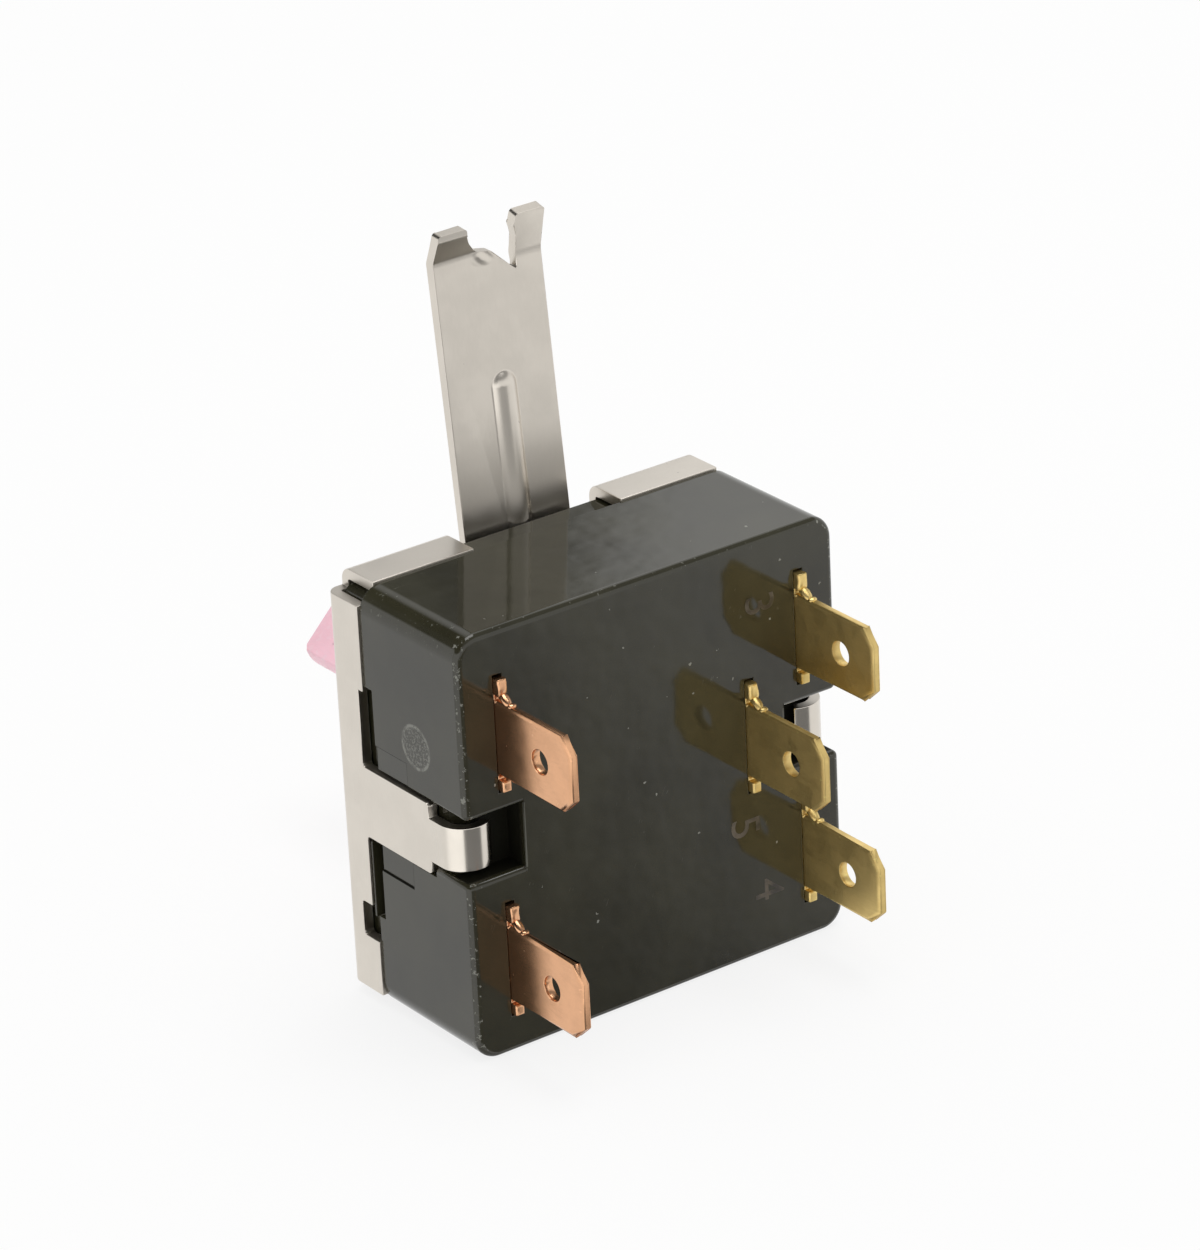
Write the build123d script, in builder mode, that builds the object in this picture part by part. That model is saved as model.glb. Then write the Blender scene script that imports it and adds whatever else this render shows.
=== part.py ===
from build123d import *
import os
from math import atan, cos, degrees, radians, sin, sqrt

os.makedirs("parts", exist_ok=True)

# Sizes are in millimetres. The shaft lies along Y with its knob end toward -Y,
# the terminals point to +Y and the tongue to +Z. The origin is where the
# shaft's axis crosses the outer face of the front plate.

# Sheet-metal bracket. A place on the tongue is its y and its rise over the
# housing's top.
sheet = 0.9
bend_radius = 1.1
flange_depth = 4.3
flange_proud = 0.2
side_flange_rise = 0.95
side_flange_drop = 1.35
top_flange_inner = 7.0
top_flange_outer = 16.4
step_depth = 3.65
upper_step_top = 11.0
window_depth = 2.3
window_bottom = -10.45
window_top = -7.5
arm_width = 6.0
arm_height = 1.5
arm_shoulder = 12.3
hook_width = 3.66
hook_middle = 1.43
hook_radius = 2.2
hook_start = 13.75
hook_turn = 125
relief_radius = 0.3
tongue_width = 10.0
root_drop = 2.3
knee_place = (0.29, -1.5)
joggle_place = (-2.0, 21.0)
step_place = (-1.1, 23.0)
tip_place = (-1.05, 23.55)
prong_bend_place = (-1.9, 20.0)
prong_split = -2.2
joggle_radius = 1.1
prong_radius = 2.5
prong_gap = (
    (2.5, 1.95),
    (2.25, -0.55),
    (1.9, -1.45),
    (1.0, -2.45),
    (-0.45, -2.77),
    (-2.62, -4.8),
    (-2.5, -1.95),
    (-2.15, -0.95),
    (-2.45, 1.95),
)
slot_radius = 1.0
slot_drop = 1.75
rib_centre = -0.2
rib_width = 2.3
rib_rise = 11.25
rib_drop = 2.6
rib_height = 0.55
plate_hole_radius = 4.75

# Moulded housing
housing_width = 35.6
housing_height = 35.6
shaft_height = 16.1
housing_back = 17.0
corner_radius = 2.0
back_edge = 0.55
side_wall = 2.0
back_wall = 1.5
sheet_gap = 0.2
notch_width = 5.4
notch_height = 1.8
notch_wall = 12.45
notch_floor = 14.7
notch_round = 0.45
channel_margin = 0.18
pocket_width = 10.65
pocket_height = 1.425
pocket_back = 9.4
pocket_depth = 0.15
well_radius = 10.4
well_wall = 1.6
well_back = 12.5
web = 1.6
groove_depth_y = 5.2
post_radius = 1.4
post_tip = 10.0
stop_inner = 8.4
stop_front = 6.4
stop_length = 2.0
stop_width = 2.6
track_front = 13.85
track_radius = 8.5
track_width = 1.6
track_half_angle = 47

# Terminals
blade_width = 6.3
blade_thickness = 0.8
blade_reach = 9.5
blade_tip_length = 1.4
blade_tip_drop = 1.2
blade_hole_radius = 1.0
blade_hole_from_tip = 3.95
ear_top = 4.95
ear_bottom = -4.4
ear_reach = 0.7
ear_round = 0.24
upper_slit = 0.45
lower_slit = 0.3
slot_fit = 0.02
slot_margin = 0.2
foot_thickness = 0.8
foot_width = 3.2
pad_radius = 2.1
upper_foot_offset = 1.75
lower_foot_offset = 1.15
foot_lead = 2.4
bend_reach = 1.6
rim_chamfer = 0.15
contact_circle = 8.5
contact_angle = 67.5
copper_x = 14.2
brass_x = -14.3
upper_row = 10.6
lower_row = -8.4
common_x = -9.2
common_height = 2.85
common_foot_height = 0.8
common_foot_width = 2.6
common_ring_outer = 5.0
common_ring_inner = 1.75

# Contacts
head_radius = 1.6
head_height = 0.9
tail_radius = 0.8
button_radius = 1.3
sliding_gap = 0.05
contactor_sheet = 0.5
contactor_radius = 5.2
contactor_end = 10.0
contactor_arm_width = 3.4
contactor_arm_front = 12.6
contactor_step_start = 5.0
contactor_step_end = 6.4
arm_a_angle = 112.5
arm_b_angle = 22.5

# Rotor
shaft_radius = 3.175
shaft_reach = 27.4
flat_offset = 1.55
flat_length = 22.0
flat_angle = 45
tip_chamfer = 0.4
boss_reach = 0.6
boss_clearance = 0.05
disc_front = 1.05
disc_thickness = 5.0
rim_clearance = 0.08
hub_radius = 2.9
hub_back = 14.0
key_half = 2.3
pivot_clearance = 0.06
lug_angle = 157.5
lug_inner = 8.3
lug_outer = 10.2
lug_width = 2.6
lug_reach = 2.0
travel = 135
stop_clearance = 1.0

# Detent
ball_radius = 1.5
ball_height = 3.55
ball_rest_gap = 0.05
ball_travel = 0.35
ball_clearance = 0.06
groove_clearance = 0.1
detent_bore_floor = 4.1
detent_wire = 0.35
detent_mean_radius = 0.95
detent_turns = 3
grooves = 8
pressure_wire = 0.6
pressure_mean_radius = 4.1
pressure_turns = 3
wire_sides = 5

housing_bottom = -shaft_height
housing_top = housing_height - shaft_height
housing_mid = (housing_top + housing_bottom) / 2
side_flange_bottom = housing_bottom + side_flange_rise
side_flange_top = housing_top - side_flange_drop
tongue_root = housing_top - root_drop
tongue_knee, tongue_joggle, tongue_step, tongue_tip, prong_bend = [
    (y, housing_top + rise) for y, rise in (knee_place, joggle_place, step_place, tip_place, prong_bend_place)
]
slot_bottom = housing_top - slot_drop
rib_top = housing_top + rib_rise
rib_bottom = housing_top - rib_drop
outer_x = housing_width / 2 + flange_proud
outer_top = housing_top + flange_proud
rebate_x = outer_x - sheet - sheet_gap
rebate_top = outer_top - sheet - sheet_gap
floor_y = housing_back - back_wall
foot_front = floor_y - foot_thickness
contact_plane = foot_front - head_height
disc_radius = well_radius - rim_clearance
disc_back = disc_front + disc_thickness
block_inner = notch_wall - back_wall
ball_rest = well_radius - ball_rest_gap - ball_radius
arm_bottom = arm_height - arm_width / 2
arm_top = arm_height + arm_width / 2
hook_bottom = hook_middle - hook_width / 2
hook_top = hook_middle + hook_width / 2
ear_span = ear_top - ear_bottom
ear_middle = (ear_top + ear_bottom) / 2
pad_x = contact_circle * cos(radians(contact_angle))
pad_z = contact_circle * sin(radians(contact_angle))
contactor_front = foot_front - sliding_gap - contactor_sheet
button_base = contactor_arm_front + contactor_sheet
stop_meeting = degrees(atan(lug_width / 2 / stop_inner) + atan(stop_width / 2 / stop_inner))
stop_angle = lug_angle + stop_clearance + stop_meeting
far_stop_angle = lug_angle - travel - stop_clearance - stop_meeting


def at_depth(y):
    """Plane square to the shaft, seen from the front; extrude by a negative amount to go back."""
    return Plane.XZ.offset(-y)


def sheet_section(points, thickness):
    """Closed outline of a sheet whose rear face runs through the (y, z) points."""
    front = []
    for index, (y, z) in enumerate(points):
        before = points[max(index - 1, 0)]
        after = points[min(index + 1, len(points) - 1)]
        run = Vector(after[0] - before[0], after[1] - before[1]).normalized()
        front.append((y - run.Y * thickness, z + run.X * thickness))
    return points + front[::-1]


def save(piece, name):
    """Name a finished piece and write its file."""
    piece.part.label = name
    export_step(piece.part, "parts/" + name + ".step")


# Bracket: plate, flanges, clip arms and tongue folded from one sheet
with BuildPart() as bracket:
    with BuildSketch(Plane.XY.offset(side_flange_bottom)) as fold:
        with Locations((0, bend_radius)):
            Rectangle(2 * outer_x, 2 * bend_radius)
        with Locations((0, sheet + bend_radius)):
            Rectangle(2 * (outer_x - sheet), 2 * bend_radius, mode=Mode.SUBTRACT)
        fillet(fold.vertices().group_by(Axis.Y)[0], bend_radius)
        fillet(fold.vertices().filter_by_position(Axis.Y, sheet - 0.01, sheet + 0.01), bend_radius - sheet)
    extrude(amount=side_flange_top - side_flange_bottom)

    # Flat of the right side flange with its clip arm
    with BuildSketch(Plane.YZ.offset(outer_x - sheet)) as side:
        with BuildLine():
            Polyline(
                (bend_radius, side_flange_bottom),
                (flange_depth, side_flange_bottom),
                (flange_depth, window_bottom),
                (window_depth, window_bottom),
                (window_depth, window_top),
                (step_depth, window_top),
                (step_depth, arm_bottom),
                (arm_shoulder, arm_bottom),
                (arm_shoulder, hook_bottom),
                (hook_start, hook_bottom),
                (hook_start, hook_top),
                (arm_shoulder, hook_top),
                (arm_shoulder, arm_top),
                (step_depth, arm_top),
                (step_depth, upper_step_top),
                (flange_depth, upper_step_top),
                (flange_depth, side_flange_top),
                (bend_radius, side_flange_top),
                close=True,
            )
        make_face()
        roots = side.vertices().filter_by_position(Axis.X, step_depth - 0.01, step_depth + 0.01)
        fillet(roots.filter_by_position(Axis.Y, arm_bottom - 0.01, arm_top + 0.01), relief_radius)
        shoulders = side.vertices().filter_by_position(Axis.X, arm_shoulder - 0.01, arm_shoulder + 0.01)
        fillet(shoulders.group_by(Axis.Y)[0] + shoulders.group_by(Axis.Y)[-1], 0.35)
        fillet(side.vertices().filter_by_position(Axis.X, window_depth - 0.01, window_depth + 0.01), 0.3)
    extrude(amount=sheet)

    # Hook at the arm's end
    with BuildSketch(Plane.XY.offset(hook_bottom)):
        with BuildLine():
            centre = (outer_x - hook_radius, hook_start)
            outer = CenterArc(centre, hook_radius, 0, hook_turn)
            inner = CenterArc(centre, hook_radius - sheet, 0, hook_turn)
            Line(outer @ 0, inner @ 0)
            Line(outer @ 1, inner @ 1)
        make_face()
    extrude(amount=hook_width)

    # Right top flange
    with BuildSketch(Plane.YZ.offset(top_flange_inner)) as lip:
        with Locations((flange_depth / 2, outer_top - bend_radius)):
            Rectangle(flange_depth, 2 * bend_radius)
        with Locations((sheet + flange_depth / 2, outer_top - sheet - bend_radius)):
            Rectangle(flange_depth, 2 * bend_radius, mode=Mode.SUBTRACT)
        fillet(lip.vertices().group_by(Axis.X)[0].sort_by(Axis.Y)[-1], bend_radius)
        inside = lip.vertices().filter_by_position(Axis.X, sheet - 0.01, sheet + 0.01)
        fillet(inside.sort_by(Axis.Y)[-1], bend_radius - sheet)
    extrude(amount=top_flange_outer - top_flange_inner)
    mirror(about=Plane.YZ)

    # Rounded slots beside the tongue
    with BuildSketch(at_depth(-1)):
        for side_sign in (1, -1):
            with Locations((side_sign * (tongue_width / 2 + slot_radius), slot_bottom + slot_radius)):
                Circle(slot_radius)
    extrude(amount=-(sheet + 2), mode=Mode.SUBTRACT)

    # Tongue leaning forward, with the joggle under its prongs
    with BuildSketch(at_depth(-1)):
        with Locations((0, tongue_root + tongue_width / 2)):
            Rectangle(tongue_width, tongue_width)
    extrude(amount=-(sheet + 2), mode=Mode.SUBTRACT)
    foot_line = [(sheet, tongue_root - 1), (sheet, tongue_root), tongue_knee]
    with BuildSketch(Plane.YZ.offset(prong_split)) as left_run:
        with BuildLine():
            Polyline(*sheet_section(foot_line + [tongue_joggle, tongue_step, tongue_tip], sheet), close=True)
        make_face()
        bends = left_run.vertices().filter_by_position(Axis.Y, prong_bend[1], tongue_step[1] + 0.3)
        fillet(bends, joggle_radius)
    extrude(amount=tongue_width / 2 - prong_split)
    with BuildSketch(Plane.YZ.offset(-tongue_width / 2)) as right_run:
        with BuildLine():
            Polyline(*sheet_section(foot_line + [prong_bend, tongue_tip], sheet), close=True)
        make_face()
        bends = right_run.vertices().filter_by_position(Axis.Y, prong_bend[1] - 1, prong_bend[1] + 1)
        fillet(bends, prong_radius)
    extrude(amount=prong_split + tongue_width / 2)

    # Gap between the prongs, with the sloping catch and the slot
    with BuildSketch(at_depth(-8)) as gap:
        with BuildLine():
            Polyline(*[(x, tongue_tip[1] + rise) for x, rise in prong_gap], close=True)
        make_face()
        corners = gap.vertices().sort_by(Axis.Y)
        fillet(corners[1:-2], 0.3)
        fillet(gap.vertices().sort_by(Axis.Y)[0], 0.12)
    extrude(amount=-12, mode=Mode.SUBTRACT)
    tips = bracket.edges().filter_by(lambda e: e.center().Z > tongue_tip[1] - 0.4 and abs((e % 0.5).Y) > 0.8)
    fillet(tips, 0.35)

    # Pressed stiffening rib up the middle of the tongue, round across and at its ends
    lean_run = Vector(0, tongue_joggle[0] - tongue_knee[0], tongue_joggle[1] - tongue_knee[1]).normalized()
    lean_out = Vector(0, lean_run.Z, -lean_run.Y)
    rib_end = rib_top - rib_width / 2
    rib_start = rib_bottom + rib_width / 2
    rib_y = tongue_knee[0] + (rib_end - tongue_knee[1]) * lean_run.Y / lean_run.Z
    rib_length = (rib_end - rib_start) / lean_run.Z
    rib_curve = (rib_width**2 / 4 + rib_height**2) / (2 * rib_height)
    across = Plane(origin=(rib_centre, rib_y, rib_end), x_dir=(1, 0, 0), z_dir=-lean_run)
    for inset, reach, kind in ((0, 0.6 * sheet, Mode.ADD), (0.7 * sheet, 1.2 * sheet, Mode.SUBTRACT)):
        with BuildSketch(across):
            with Locations((0, rib_curve - rib_height)):
                Circle(rib_curve - inset)
            with Locations((0, reach + 2 * rib_curve)):
                Rectangle(4 * rib_curve, 4 * rib_curve, mode=Mode.SUBTRACT)
        extrude(amount=rib_length, mode=kind)
        for end in (0, rib_length):
            tip_plane = across.offset(end)
            with BuildSketch(tip_plane):
                with Locations((0, rib_curve - rib_height)):
                    Circle(rib_curve - inset)
                with Locations((0, reach + 2 * rib_curve), (-2 * rib_curve, 0)):
                    Rectangle(4 * rib_curve, 4 * rib_curve, mode=Mode.SUBTRACT)
            revolve(axis=Axis(tip_plane.origin, lean_out), mode=kind)

    # Hole that carries the rotor's boss
    with BuildSketch(at_depth(-1)):
        Circle(plate_hole_radius)
    extrude(amount=-(sheet + 2), mode=Mode.SUBTRACT)
save(bracket, "bracket")

# Housing: cup that is open toward the plate
terminal_spots = [
    (copper_x, upper_row),
    (copper_x, lower_row),
    (brass_x, upper_row),
    (brass_x, lower_row),
    (common_x, common_height),
]

with BuildPart() as housing:
    with BuildSketch(at_depth(sheet)):
        with Locations((0, housing_mid)):
            RectangleRounded(housing_width, housing_height, corner_radius)
    extrude(amount=-(housing_back - sheet))
    fillet(housing.faces().sort_by(Axis.Y)[-1].edges(), back_edge)

    # Rebate round the rim for the flanges
    with BuildSketch(at_depth(sheet)):
        with Locations((0, housing_mid)):
            Rectangle(housing_width + 2, housing_height + 2)
        with Locations((0, rebate_top - housing_height)):
            RectangleRounded(2 * rebate_x, 2 * housing_height, corner_radius - 0.8, mode=Mode.SUBTRACT)
    extrude(amount=-(flange_depth - sheet), mode=Mode.SUBTRACT)

    # Shallow pocket, clip channel and hook notch in each side
    for side_sign in (1, -1):
        with BuildSketch(at_depth(flange_depth)):
            with Locations((side_sign * housing_width / 2, pocket_height)):
                Rectangle(2 * pocket_depth, pocket_width)
        extrude(amount=-(pocket_back - flange_depth), mode=Mode.SUBTRACT)
        with BuildSketch(at_depth(flange_depth)):
            with Locations((side_sign * outer_x, arm_height)):
                Rectangle(2 * (outer_x - rebate_x), arm_width + 2 * channel_margin)
        extrude(amount=-(arm_shoulder + 0.3 - flange_depth), mode=Mode.SUBTRACT)
        with BuildSketch(Plane.XY.offset(notch_height - notch_width / 2)) as hook_room:
            with BuildLine():
                Polyline(
                    (side_sign * (outer_x + 1), housing_back + 1),
                    (side_sign * notch_wall, housing_back + 1),
                    (side_sign * notch_wall, notch_floor),
                    (side_sign * (rebate_x - 1.3), notch_floor),
                    (side_sign * rebate_x, notch_floor - 1.3),
                    (side_sign * rebate_x, arm_shoulder - 0.2),
                    (side_sign * (outer_x + 1), arm_shoulder - 0.2),
                    close=True,
                )
            make_face()
        extrude(amount=notch_width, mode=Mode.SUBTRACT)
        mouth = housing.edges().filter_by(
            lambda e: abs(abs(e.center().Z - notch_height) - notch_width / 2) < 0.01
            and side_sign * e.center().X > notch_wall
            and (abs(e.center().Y - housing_back) < 0.01 or e.center().Y > housing_back - back_edge)
        )
        fillet(mouth, notch_round)

        # Slots that show beside the stepped edges of the flange
        with BuildSketch(Plane.YZ.offset(side_sign * housing_width / 2)):
            with Locations((4.65, (arm_top + upper_step_top + 0.4) / 2)):
                Rectangle(1.2, upper_step_top + 0.4 - arm_top)
            with Locations((4.5, (window_top - 0.7 + arm_bottom) / 2)):
                Rectangle(1.2, arm_bottom - window_top + 0.7)
        extrude(amount=-1.2 * side_sign, mode=Mode.SUBTRACT)
        with BuildSketch(Plane.YZ.offset(side_sign * rebate_x)):
            with Locations((3.82, (window_top - 1 + arm_bottom - relief_radius) / 2)):
                Rectangle(0.24, arm_bottom - relief_radius - window_top + 0.8)
        extrude(amount=(housing_width / 2 - rebate_x) * side_sign)

    # Rotor well with its ring, side blocks and webs
    with BuildSketch(at_depth(sheet)):
        with Locations((0, housing_mid)):
            RectangleRounded(housing_width - 2 * side_wall, housing_height - 2 * side_wall, 1)
        for side_sign in (1, -1):
            with Locations((side_sign * (block_inner + 5), notch_height)):
                Rectangle(10, notch_width + 2.4, mode=Mode.SUBTRACT)
        Rectangle(web, 2 * housing_height, mode=Mode.SUBTRACT)
        Circle(well_radius + well_wall, mode=Mode.SUBTRACT)
        Circle(well_radius)
    extrude(amount=-(well_back - sheet), mode=Mode.SUBTRACT)
    with BuildSketch(at_depth(well_back)):
        with Locations((0, housing_mid)):
            RectangleRounded(housing_width - 2 * side_wall, housing_height - 2 * side_wall, 1)
        for side_sign in (1, -1):
            with Locations((side_sign * (block_inner + 5), notch_height)):
                Rectangle(10, notch_width + 2.4, mode=Mode.SUBTRACT)
        Rectangle(web, 2 * housing_height, mode=Mode.SUBTRACT)
        Circle(well_radius)
    extrude(amount=-(floor_y - well_back), mode=Mode.SUBTRACT)

    # Detent grooves round the well
    with BuildSketch(at_depth(sheet)):
        with PolarLocations(ball_rest + ball_travel, grooves, start_angle=90):
            Circle(ball_radius + groove_clearance)
    extrude(amount=-(groove_depth_y - sheet), mode=Mode.SUBTRACT)

    # Pivot post, end stops and the raised track that the contacts slide along
    with BuildSketch(at_depth(post_tip)):
        Circle(post_radius)
    extrude(amount=-(floor_y - post_tip))
    with BuildSketch(at_depth(stop_front)):
        for angle in (stop_angle, far_stop_angle):
            with PolarLocations((stop_inner + well_radius + 0.5) / 2, 1, start_angle=angle):
                Rectangle(well_radius + 0.5 - stop_inner, stop_width)
    extrude(amount=-stop_length)
    with BuildSketch(at_depth(track_front)) as track:
        with BuildLine():
            outer = CenterArc((0, 0), track_radius + track_width / 2, -track_half_angle, 2 * track_half_angle)
            inner = CenterArc((0, 0), track_radius - track_width / 2, -track_half_angle, 2 * track_half_angle)
            Line(outer @ 0, inner @ 0)
            Line(outer @ 1, inner @ 1)
        make_face()
    extrude(amount=-(floor_y - track_front))

    # Slots for the terminals
    with BuildSketch(at_depth(floor_y - 1)):
        with Locations(*[(x, z + ear_middle) for x, z in terminal_spots]):
            Rectangle(blade_thickness + 2 * slot_fit, ear_span + 2 * slot_margin)
    extrude(amount=-(back_wall + 2), mode=Mode.SUBTRACT)
save(housing, "housing")

# Terminals: blade, staked ears, bend and inner foot of one strip
for number, (x, z) in enumerate(terminal_spots, start=1):
    inward = -1 if x > 0 else 1
    common = number == 5
    above = 1 if z > 0 else -1
    strip = common_foot_height if common else above * (pad_z + (upper_foot_offset if above > 0 else lower_foot_offset))
    strip_width = common_foot_width if common else foot_width
    tip = housing_back + blade_reach
    with BuildPart() as terminal:
        with BuildSketch(Plane.YZ.offset(x - blade_thickness / 2)) as blade:
            with Locations(((floor_y + housing_back) / 2, z + ear_middle)):
                Rectangle(back_wall, ear_span)
            with Locations(((floor_y + tip) / 2, z)):
                Rectangle(tip - floor_y, blade_width)
            corners = blade.vertices().filter_by_position(Axis.X, tip - 0.01, tip + 0.01)
            chamfer(corners, blade_tip_length, blade_tip_drop)
            with Locations((tip - blade_hole_from_tip, z)):
                Circle(blade_hole_radius, mode=Mode.SUBTRACT)
        extrude(amount=blade_thickness)
        rims = terminal.edges().filter_by_position(Axis.Y, tip - 1.6, tip + 0.1).filter_by(
            lambda e: abs(e.center().X - x) > blade_thickness / 2 - 0.01
        )
        chamfer([e for e in rims if e.geom_type == GeomType.LINE], rim_chamfer)

        # Ears sheared off the blade's sides and set on the housing's back
        with BuildSketch(Plane.YZ.offset(x - blade_thickness / 2)):
            for low, high in ((blade_width / 2 + upper_slit, ear_top), (ear_bottom, -blade_width / 2 - lower_slit)):
                with Locations((housing_back + ear_reach / 2, z + (low + high) / 2)):
                    Rectangle(ear_reach, high - low)
        extrude(amount=blade_thickness)
        ear_end = housing_back + ear_reach
        fillet(terminal.edges().filter_by_position(Axis.Y, ear_end - 0.01, ear_end + 0.01), ear_round)

        # Bend and foot on the housing's floor
        with BuildSketch(Plane.XY.offset(strip - strip_width / 2)) as bend:
            with Locations((x + inward * bend_reach, (foot_front + floor_y) / 2)):
                Rectangle(2 * bend_reach + blade_thickness, foot_thickness)
            with Locations((x, (foot_front + housing_back) / 2)):
                Rectangle(blade_thickness, housing_back - foot_front)
            knee = bend.vertices().group_by(Axis.Y)[0].sort_by(Axis.X)
            fillet(knee[-1] if inward < 0 else knee[0], foot_thickness)
        extrude(amount=strip_width)
        with BuildSketch(at_depth(foot_front)) as foot:
            if common:
                Circle(common_ring_outer)
                with Locations(((x + inward * blade_thickness) / 2, strip)):
                    Rectangle(abs(x) - blade_thickness, strip_width)
                Circle(common_ring_inner, mode=Mode.SUBTRACT)
            else:
                pad = (-inward * pad_x, above * pad_z)
                with Locations(pad):
                    Circle(pad_radius)
                with Locations((-inward * (pad_x + foot_lead), strip)):
                    Circle(foot_width / 2)
                make_hull()
                start = -inward * (pad_x + foot_lead)
                with Locations(((start + x + inward * blade_thickness) / 2, strip)):
                    Rectangle(abs(x - start) - blade_thickness, foot_width)
                with Locations(pad):
                    Circle(tail_radius, mode=Mode.SUBTRACT)
        extrude(amount=-foot_thickness)
    save(terminal, "terminal_" + str(number))

    # Riveted contact on the foot
    if not common:
        with BuildPart() as fixed_contact:
            with BuildSketch(at_depth(contact_plane)):
                with Locations(pad):
                    Circle(head_radius)
            extrude(amount=-head_height)
            with BuildSketch(at_depth(foot_front)):
                with Locations(pad):
                    Circle(tail_radius)
            extrude(amount=-foot_thickness)
        save(fixed_contact, "fixed_contact_" + str(number))

# Rotor: D-shaft, boss, detent disc, stop lug and hub in one moulding
with BuildPart() as rotor:
    with BuildSketch(at_depth(-shaft_reach)):
        Circle(shaft_radius)
    extrude(amount=-(shaft_reach + disc_front))
    chamfer(rotor.faces().sort_by(Axis.Y)[0].edges(), tip_chamfer)
    flat_out = Vector(cos(radians(flat_angle)), 0, sin(radians(flat_angle)))
    with BuildSketch(Plane(origin=(0, -shaft_reach, 0), x_dir=flat_out, z_dir=(0, -1, 0))):
        with Locations((flat_offset + shaft_radius, 0)):
            Rectangle(2 * shaft_radius, 3 * shaft_radius)
    extrude(amount=-flat_length, mode=Mode.SUBTRACT)
    with BuildSketch(at_depth(-boss_reach)):
        Circle(plate_hole_radius - boss_clearance)
    extrude(amount=-(boss_reach + disc_front))
    with BuildSketch(at_depth(disc_front)):
        Circle(disc_radius)
    extrude(amount=-disc_thickness)
    with BuildSketch(at_depth(disc_back)):
        with PolarLocations((lug_inner + lug_outer) / 2, 1, start_angle=lug_angle):
            Rectangle(lug_outer - lug_inner, lug_width)
    extrude(amount=-lug_reach)
    with BuildSketch(at_depth(disc_back)):
        Circle(hub_radius)
    extrude(amount=-(contactor_front - 0.1 - disc_back))
    with BuildSketch(at_depth(contactor_front - 0.1)):
        Circle(hub_radius)
        Rectangle(2 * hub_radius, 2 * key_half, mode=Mode.INTERSECT)
    extrude(amount=-(hub_back + 0.4 - contactor_front + 0.1))
    with BuildSketch(at_depth(post_tip - 0.3)):
        Circle(post_radius + pivot_clearance)
    extrude(amount=-(floor_y - post_tip), mode=Mode.SUBTRACT)

    # Bores for the detent balls
    for up in (1, -1):
        bore_plane = Plane(origin=(0, ball_height, up * (detent_bore_floor)), z_dir=(0, 0, up))
        with BuildSketch(bore_plane):
            Circle(ball_radius + ball_clearance)
        extrude(amount=disc_radius, mode=Mode.SUBTRACT)
save(rotor, "rotor")

# Contact bridge keyed on the hub
with BuildPart() as contactor:
    with BuildSketch(at_depth(contactor_front)):
        Circle(contactor_radius)
    extrude(amount=-contactor_sheet)
    for angle in (arm_a_angle, arm_b_angle):
        arm_plane = Plane.XY.rotated((0, -angle, 0))
        with BuildSketch(arm_plane.offset(-contactor_arm_width / 2)):
            with BuildLine():
                Polyline(
                    (hub_radius, contactor_front),
                    (contactor_step_start, contactor_front),
                    (contactor_step_end, contactor_arm_front),
                    (contactor_end, contactor_arm_front),
                    (contactor_end, contactor_arm_front + contactor_sheet),
                    (contactor_step_end + 0.2, contactor_arm_front + contactor_sheet),
                    (contactor_step_start + 0.2, contactor_front + contactor_sheet),
                    (hub_radius, contactor_front + contactor_sheet),
                    close=True,
                )
            make_face()
        extrude(amount=contactor_arm_width)
    with BuildSketch(at_depth(contactor_front - 3)):
        Circle(hub_radius + 0.05)
        Rectangle(2 * hub_radius + 1, 2 * key_half + 0.1, mode=Mode.INTERSECT)
        with PolarLocations(contact_circle, 1, start_angle=arm_a_angle):
            Circle(tail_radius)
        with PolarLocations(contact_circle, 1, start_angle=arm_b_angle):
            Circle(tail_radius)
    extrude(amount=-5, mode=Mode.SUBTRACT)
save(contactor, "contactor")

for letter, angle in (("a", arm_a_angle), ("b", arm_b_angle)):
    with BuildPart() as button:
        with BuildSketch(at_depth(contactor_arm_front)):
            with PolarLocations(contact_circle, 1, start_angle=angle):
                Circle(tail_radius)
        extrude(amount=-contactor_sheet)
        with BuildSketch(at_depth(button_base)):
            with PolarLocations(contact_circle, 1, start_angle=angle):
                Circle(button_radius)
        extrude(amount=-(contact_plane - sliding_gap - button_base))
        chamfer(button.faces().sort_by(Axis.Y)[-1].edges(), 0.25)
    save(button, "moving_contact_" + letter)

# Spring between the disc and the contact bridge
pressure_length = contactor_front - disc_back - pressure_wire
with BuildPart() as pressure_spring:
    with BuildLine() as coil:
        Helix(
            pitch=pressure_length / pressure_turns,
            height=pressure_length,
            radius=pressure_mean_radius,
            center=(0, disc_back + pressure_wire / 2, 0),
            direction=(0, 1, 0),
        )
    with BuildSketch(Plane(origin=coil.line @ 0, z_dir=coil.line % 0)):
        RegularPolygon(pressure_wire / 2, wire_sides)
    sweep(is_frenet=True)
save(pressure_spring, "pressure_spring")

# Detent balls and their springs
wire_to_ball = ball_radius + detent_wire / 2
spring_top = ball_rest - sqrt(wire_to_ball**2 - detent_mean_radius**2) - 0.02
for letter, up in (("a", 1), ("b", -1)):
    with BuildPart() as ball:
        with Locations((0, ball_height, up * ball_rest)):
            Sphere(ball_radius)
    save(ball, "detent_ball_" + letter)
    spring_length = spring_top - detent_bore_floor - detent_wire / 2
    with BuildPart() as detent_spring:
        with BuildLine() as coil:
            Helix(
                pitch=spring_length / detent_turns,
                height=spring_length,
                radius=detent_mean_radius,
                center=(0, ball_height, up * (detent_bore_floor + detent_wire / 2)),
                direction=(0, 0, up),
            )
        with BuildSketch(Plane(origin=coil.line @ 0, z_dir=coil.line % 0)):
            RegularPolygon(detent_wire / 2, wire_sides)
        sweep(is_frenet=True)
    save(detent_spring, "detent_spring_" + letter)
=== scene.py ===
import math

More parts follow.
